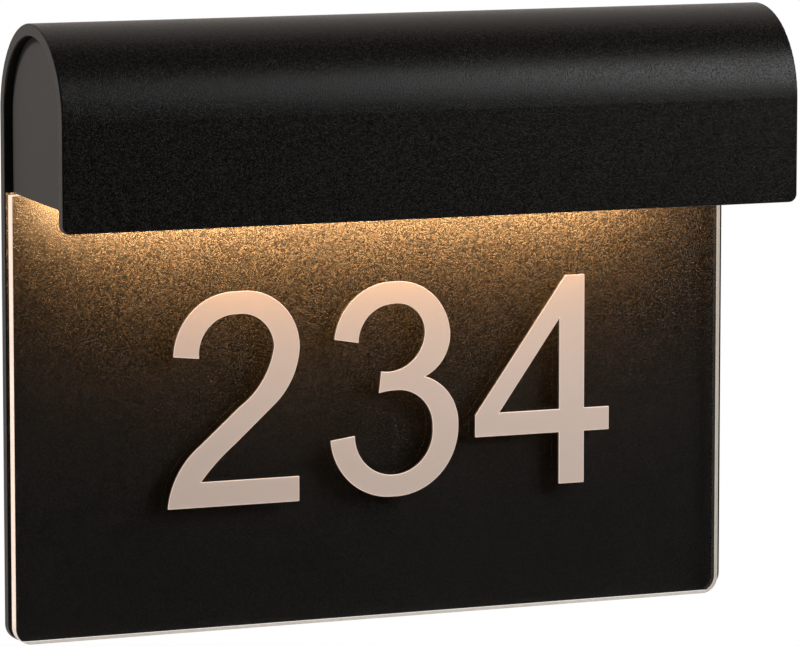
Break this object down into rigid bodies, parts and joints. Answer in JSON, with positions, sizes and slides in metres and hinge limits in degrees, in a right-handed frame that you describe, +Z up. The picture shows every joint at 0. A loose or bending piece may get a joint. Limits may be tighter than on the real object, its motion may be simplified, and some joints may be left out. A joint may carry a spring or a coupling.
{
  "type": "illuminated house number sign",
  "caption": "Wall-mounted house number sign: a black one-piece back plate and half-round hood that lights a clear panel with raised digits.",
  "frame": {"origin": "on the wall face of the back plate, halfway between the two keyholes' slots", "axes": "+X to the right as the sign is read, +Y into the wall, +Z up"},
  "size_m": [0.278, 0.064, 0.219],
  "materials": {
    "textured_black_coat": "fine textured powder coat on aluminium, matt",
    "dark_grey_cap": "smooth moulded, matt",
    "stainless_steel": "plain machine screws",
    "clear_acrylic": "clear, polished faces, sawn and flamed edges",
    "natural_nylon": "turned washers",
    "satin_digit": "satin, fine grain",
    "adhesive_film": "thin acrylic foam tape",
    "tray_aluminium": "mill finish, cut and drilled",
    "opal_lens": "opal diffusing sheet, lit warm white",
    "thermal_pad": "soft filled silicone",
    "white_led_board": "white solder mask on an aluminium board",
    "led_phosphor": "yellow phosphor in a white cup",
    "white_case": "moulded, fine spark texture",
    "green_board": "green solder mask on glass-fibre board",
    "capacitor_can": "shrink sleeve over an aluminium can",
    "ferrite": "pressed ferrite",
    "copper_wire": "lacquered copper winding",
    "chip_body": "moulded epoxy",
    "socket_nylon": "moulded nylon",
    "terminal_nylon": "moulded nylon",
    "brown_lead": "soft insulated wire",
    "blue_lead": "soft insulated wire",
    "red_lead": "soft insulated wire",
    "black_lead": "soft insulated wire",
    "black_rubber": "moulded, matt"
  },
  "bodies": {
    "root": {"hood_backplate": "textured_black_coat", "left_end_cap": "dark_grey_cap", "right_end_cap": "dark_grey_cap", "end_cap_screws": "stainless_steel", "clear_panel": "clear_acrylic", "panel_spacers": "natural_nylon", "panel_screws": "stainless_steel", "number_2": "satin_digit", "number_3": "satin_digit", "number_4": "satin_digit", "number_adhesive": "adhesive_film", "led_tray": "tray_aluminium", "tray_screws": "stainless_steel", "diffuser_lens": "opal_lens", "thermal_pad": "thermal_pad", "led_board": "white_led_board", "led_chips": "led_phosphor", "driver_case_base": "white_case", "driver_case_lid": "white_case", "driver_board": "green_board", "driver_capacitor": "capacitor_can", "inductor_core": "ferrite", "inductor_winding": "copper_wire", "driver_chips": "chip_body", "driver_sockets": "socket_nylon", "driver_screws": "stainless_steel", "terminal_block": "terminal_nylon", "terminal_screws": "stainless_steel", "supply_lead_a": "brown_lead", "supply_lead_b": "blue_lead", "led_lead_positive": "red_lead", "led_lead_negative": "black_lead", "board_plug": "socket_nylon", "lead_grommet": "black_rubber", "cable_grommet": "black_rubber"}
  },
  "joints": []
}
